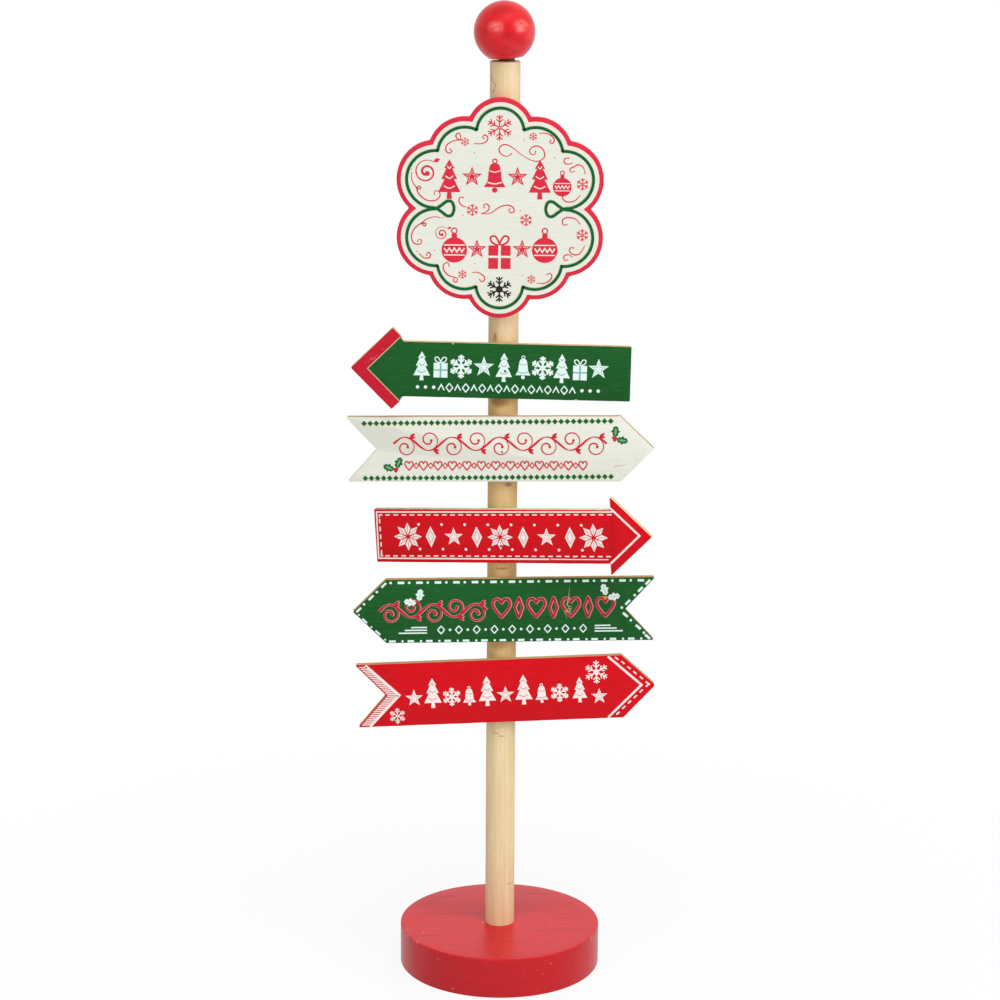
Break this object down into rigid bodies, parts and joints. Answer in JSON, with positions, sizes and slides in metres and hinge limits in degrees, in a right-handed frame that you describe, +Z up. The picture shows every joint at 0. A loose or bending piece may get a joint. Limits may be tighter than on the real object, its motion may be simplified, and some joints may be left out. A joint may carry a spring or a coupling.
{
  "type": "wooden christmas signpost",
  "caption": "Free-standing wooden table signpost: a round painted foot, a slim post with a ball on top, a lobed plaque and a column of arrow and pennant shaped direction boards.",
  "frame": {"origin": "middle of the foot's underside, on the surface that it stands on", "axes": "+Z up along the post, -Y out of the front faces of the boards, +X to the viewer's right"},
  "size_m": [0.197, 0.1306, 0.6279],
  "materials": {
    "foot_paint": "red satin paint over wood grain",
    "post_wood": "bare sanded softwood dowel",
    "pin_wood": "dark stained dowel",
    "ball_paint": "red gloss paint on turned wood",
    "plaque_board": "white face with a printed border, red painted edge",
    "green_board": "green satin face, bare sawn edges",
    "white_board": "off-white satin face, bare sawn edges",
    "red_board": "red satin face, bare sawn edges",
    "nail_steel": "dull dark steel",
    "screw_steel": "zinc plated steel"
  },
  "bodies": {
    "root": {"foot": "foot_paint", "post": "post_wood", "finial_pin": "pin_wood", "finial_ball": "ball_paint", "plaque": "plaque_board", "green_arrow_board": "green_board", "white_pennant_board": "white_board", "red_arrow_board": "red_board", "green_pennant_board": "green_board", "red_pennant_board": "red_board", "nails": "nail_steel", "foot_screw": "screw_steel"}
  },
  "joints": []
}
